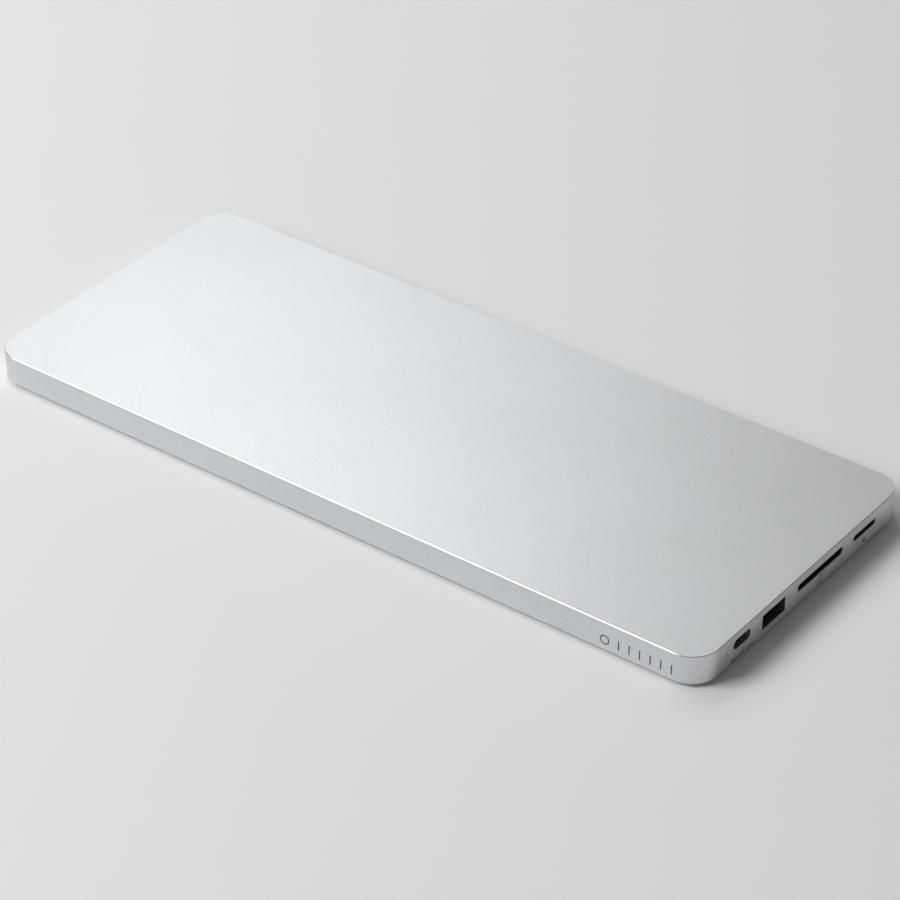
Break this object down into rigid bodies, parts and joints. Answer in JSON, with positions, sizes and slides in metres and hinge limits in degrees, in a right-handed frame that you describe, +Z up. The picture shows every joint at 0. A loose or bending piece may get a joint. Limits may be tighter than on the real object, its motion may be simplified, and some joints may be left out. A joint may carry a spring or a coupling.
{
  "type": "usb hub",
  "caption": "Slim flat aluminium desktop hub with type C, type A and memory card ports in one end and a sliding cover over an SSD bay below.",
  "frame": {"origin": "on the surface the feet stand on, under the middle of the case", "axes": "+X towards the end with the ports, along the length; -Y to the long front side; +Z up"},
  "size_m": [0.28, 0.116, 0.0112],
  "materials": {
    "case_aluminium": "bead-blasted, clear anodised",
    "base_aluminium": "bead-blasted, clear anodised",
    "foot_rubber": "fine matt moulded",
    "screw_steel": "zinc plated",
    "frame_plastic": "matt moulded",
    "thermal_pad": "soft filled silicone",
    "connector_plastic": "fine moulded",
    "connector_steel": "nickel plated",
    "contact_gold": "gold plated",
    "board": "solder mask over copper",
    "chip_epoxy": "moulded epoxy",
    "crystal_can": "nickel can",
    "ferrite": "sintered ferrite",
    "can_aluminium": "drawn can",
    "capacitor_ceramic": "fired ceramic, tinned ends",
    "led_white": "moulded lens",
    "clear_pipe": "smoked polycarbonate light guide"
  },
  "bodies": {
    "case": {"top_case": "case_aluminium", "port_end_wall": "case_aluminium", "rear_port_wall": "case_aluminium", "base_plate": "base_aluminium", "foot_front_left": "foot_rubber", "foot_front_right": "foot_rubber", "foot_rear_left": "foot_rubber", "foot_rear_right": "foot_rubber", "base_screws": "screw_steel", "board_screws": "screw_steel", "retainer_screw": "screw_steel", "ssd_standoff": "screw_steel", "bay_frame": "frame_plastic", "ssd_thermal_pad": "thermal_pad", "controller_thermal_pad": "thermal_pad", "m2_socket_body": "connector_plastic", "m2_socket_contacts": "contact_gold", "main_board": "board", "hub_controller": "chip_epoxy", "ssd_bridge_chip": "chip_epoxy", "card_reader_chip": "chip_epoxy", "rear_port_chip": "chip_epoxy", "flash_chip": "chip_epoxy", "power_switch_chips": "chip_epoxy", "esd_arrays": "chip_epoxy", "crystals": "crystal_can", "inductors": "ferrite", "bulk_capacitors": "can_aluminium", "ceramic_capacitors": "capacitor_ceramic", "status_led": "led_white", "light_pipe": "clear_pipe", "sd_socket_frame": "connector_plastic", "sd_socket_cover": "connector_steel", "sd_socket_contacts": "contact_gold", "microsd_socket_frame": "connector_plastic", "microsd_socket_cover": "connector_steel", "microsd_socket_contacts": "contact_gold", "usb_c_shell": "connector_steel", "usb_c_tongue": "connector_plastic", "usb_c_contacts": "contact_gold", "host_usb_c_shell": "connector_steel", "host_usb_c_tongue": "connector_plastic", "host_usb_c_contacts": "contact_gold", "usb_a_shell": "connector_steel", "usb_a_insulator": "connector_plastic", "usb_a_contacts": "contact_gold", "rear_usb_a_left_shell": "connector_steel", "rear_usb_a_left_insulator": "connector_plastic", "rear_usb_a_left_contacts": "contact_gold", "rear_usb_a_right_shell": "connector_steel", "rear_usb_a_right_insulator": "connector_plastic", "rear_usb_a_right_contacts": "contact_gold"},
    "ssd_cover": {"ssd_cover": "base_aluminium"},
    "ssd_retainer": {"ssd_retainer": "frame_plastic"}
  },
  "joints": [
    {"name": "ssd_cover_slide", "type": "slide", "parent": "case", "child": "ssd_cover", "axis": [-1, 0, 0], "range_m": [0, 0.006]},
    {"name": "ssd_retainer_turn", "type": "hinge", "parent": "case", "child": "ssd_retainer", "pos_m": [-0.066, 0, 0.0048], "axis": [0, 0, 1], "range_deg": [0, 120]}
  ]
}
